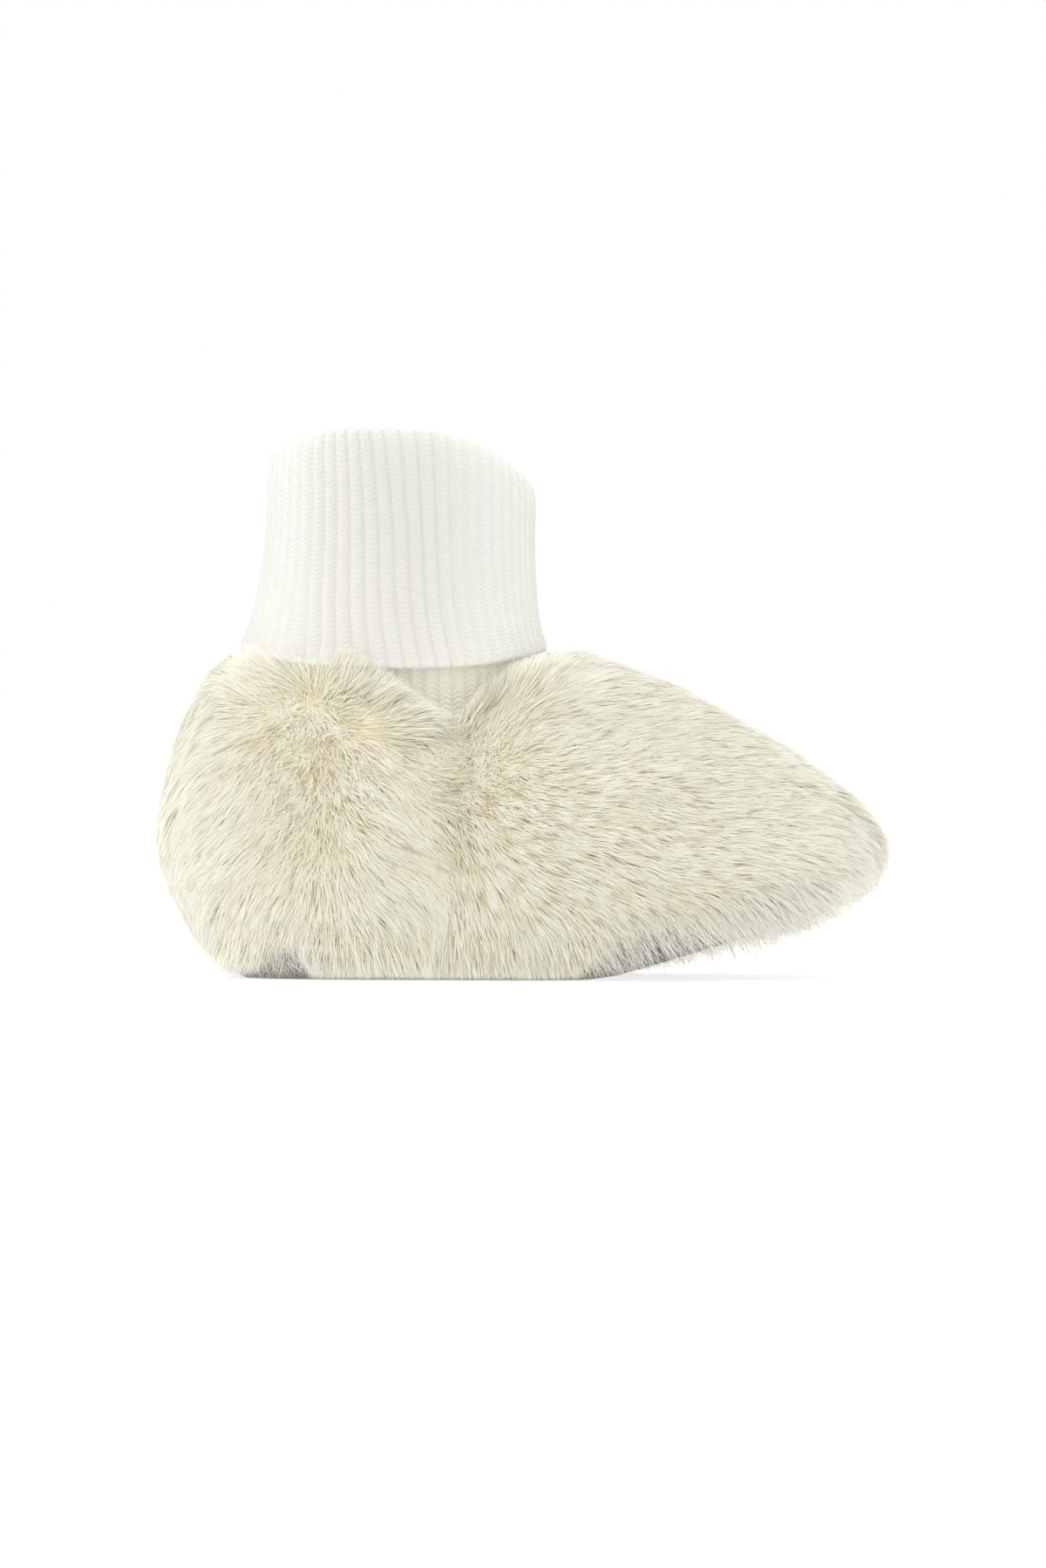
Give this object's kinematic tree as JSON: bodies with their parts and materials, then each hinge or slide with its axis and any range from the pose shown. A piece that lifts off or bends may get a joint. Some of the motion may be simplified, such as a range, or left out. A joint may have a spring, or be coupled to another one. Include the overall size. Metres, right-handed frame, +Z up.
{
  "type": "baby slipper",
  "caption": "Soft ankle-high baby slipper: deep faux fur upper on a flat soft sole with a lifted toe, and a rib-knit cuff folded down over the collar.",
  "frame": {"origin": "middle of the slipper's length and width, on the floor it stands on", "axes": "+X towards the toe, +Z up, the XZ plane down the middle of the foot"},
  "size_m": [0.1317, 0.071, 0.0986],
  "materials": {
    "outsole": "soft grey suede, matt",
    "insole": "cream brushed lining",
    "upper": "ivory long-pile faux fur",
    "cuff": "white rib knit"
  },
  "bodies": {
    "root": {"outsole": "outsole", "insole": "insole", "upper": "upper", "cuff": "cuff"}
  },
  "joints": []
}
